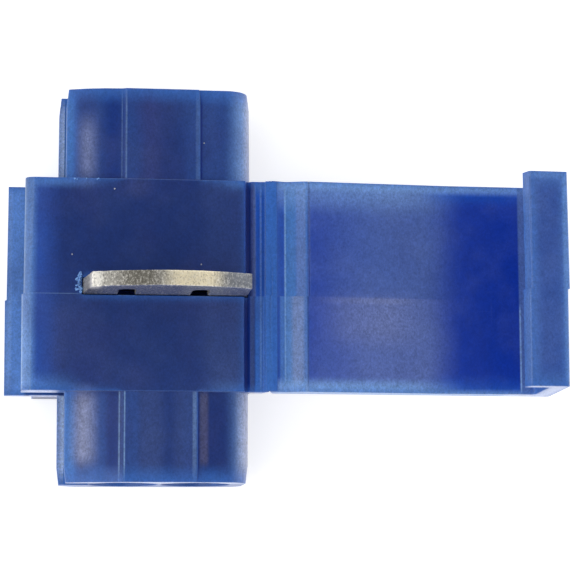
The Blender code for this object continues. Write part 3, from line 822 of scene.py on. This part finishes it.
def make_moulding(node_name, name, body, finish):
    """A moulded node again, with its round places shaded as round."""
    form = bmesh.new()
    form.from_mesh(frame["nodes"][node_name].data)
    bmesh.ops.remove_doubles(form, verts=form.verts, dist=MERGE)
    bmesh.ops.dissolve_limit(
        form, angle_limit=math.radians(0.05), verts=form.verts, edges=form.edges
    )
    bmesh.ops.triangulate(form, faces=[face for face in form.faces if len(face.verts) > 4])
    mesh = bpy.data.meshes.new(name)
    form.to_mesh(mesh)
    form.free()
    mesh.shade_smooth()
    mesh.set_sharp_from_angle(angle=math.radians(19))
    mesh.materials.append(finish)
    piece = add_object(name, mesh, body)
    flat_faces = piece.modifiers.new("flat_faces_stay_flat", "WEIGHTED_NORMAL")
    flat_faces.keep_sharp = True
    flat_faces.weight = 100
    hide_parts(node_name)


# The studio's floor, just under the part
FLOOR_SIZE = 1.5
FLOOR_DROP = 0.01 * MM
FLOOR_COLOUR = (0.8, 0.8, 0.8, 1)
FLOOR_GLOW = 0.62
WHITE = (1, 1, 1, 1)


def make_floor():
    """A wide pale floor that looks white and keeps the object's shadow."""
    form = bmesh.new()
    bmesh.ops.create_grid(form, x_segments=1, y_segments=1, size=FLOOR_SIZE)
    mesh = bpy.data.meshes.new("floor")
    form.to_mesh(mesh)
    form.free()
    floor = bpy.data.objects.new("floor", mesh)
    floor.location = (0, 0, -FLOOR_DROP)
    bpy.context.scene.collection.objects.link(floor)
    made = bpy.data.materials.new("floor")
    made.use_nodes = True
    graph = Graph(made.node_tree)
    surface = made.node_tree.nodes["Principled BSDF"]
    surface.inputs["Base Color"].default_value = FLOOR_COLOUR
    surface.inputs["Roughness"].default_value = 0.9
    surface.inputs["Specular IOR Level"].default_value = 0
    rays = graph.add("ShaderNodeLightPath").outputs
    seen = graph.math("MAXIMUM", rays["Is Camera Ray"], rays["Is Glossy Ray"])
    seen = graph.math("MAXIMUM", seen, rays["Is Transmission Ray"])
    surface.inputs["Emission Color"].default_value = WHITE
    glow = graph.math("MULTIPLY", seen, FLOOR_GLOW)
    graph.put(surface.inputs["Emission Strength"], glow)
    mesh.materials.append(made)


# How bright the studio is straight above, and how much brighter at the horizon
OVERHEAD_LIGHT = 0.17
HORIZON_LIGHT = 1.35


def make_world():
    """Even light all round, white at the horizon and dark straight above for reflections."""
    world = bpy.data.worlds.new("studio")
    bpy.context.scene.world = world
    world.use_nodes = True
    graph = Graph(world.node_tree)
    background = world.node_tree.nodes["Background"]
    rays = graph.add("ShaderNodeLightPath").outputs
    parts = graph.add("ShaderNodeSeparateXYZ")
    graph.put(parts.inputs[0], graph.add("ShaderNodeTexCoord").outputs["Generated"])
    horizon = graph.ramp(parts.outputs["Z"], 0.9, 0.4)
    level = graph.math("MULTIPLY_ADD", horizon, HORIZON_LIGHT, OVERHEAD_LIGHT)
    level = graph.math("MAXIMUM", level, rays["Is Camera Ray"])
    background.inputs["Color"].default_value = WHITE
    graph.put(background.inputs["Strength"], level)


# The middle of the part, which the lamp looks at
LAMP_AIM = Vector((8, 0, 4)) * MM


def make_lamp(name, place, size, radiance):
    """A soft box at a place in mm, aimed at the object, of a given brightness."""
    data = bpy.data.lights.new(name, "AREA")
    data.shape = "RECTANGLE"
    data.size = size[0] * MM
    data.size_y = size[1] * MM
    data.energy = radiance * math.pi * data.size * data.size_y
    lamp = bpy.data.objects.new(name, data)
    lamp.location = Vector(place) * MM
    aim = (LAMP_AIM - lamp.location).to_track_quat("-Z", "Y")
    lamp.rotation_euler = aim.to_euler()
    bpy.context.scene.collection.objects.link(lamp)


bpy.context.scene.view_settings.view_transform = "Standard"
make_camera()
make_floor()
make_world()
make_lamp("soft_box_left", (-150, -90, 290), (150, 200), 1.8)

body_finish = plastic("body_polypropylene", NAVY, BODY_ZONES, 0.3, 0.1, 0.0)
cover_finish = plastic("cover_polypropylene", DEEP_BLUE, COVER_ZONES, 0.1, 0.2, 0.1)
make_moulding("body_moulding", "splice_body", "body", body_finish)
make_moulding("latch_cover", "splice_cover", "cover", cover_finish)
make_hinge_web(body_finish)
make_contact(metal("tinned_brass", METAL_ZONES, METAL_LIGHT_AND_SHADE_ZONES))
shavings = plain("pale_shavings", PALE_BLUE, 0.5)
make_burr(shavings)
make_specks("edge_chips", EDGE_CHIPS, "body", shavings)
make_specks("dust_specks", BODY_SPECKS, "body", plain("dust", linear(170, 176, 190), 0.9))
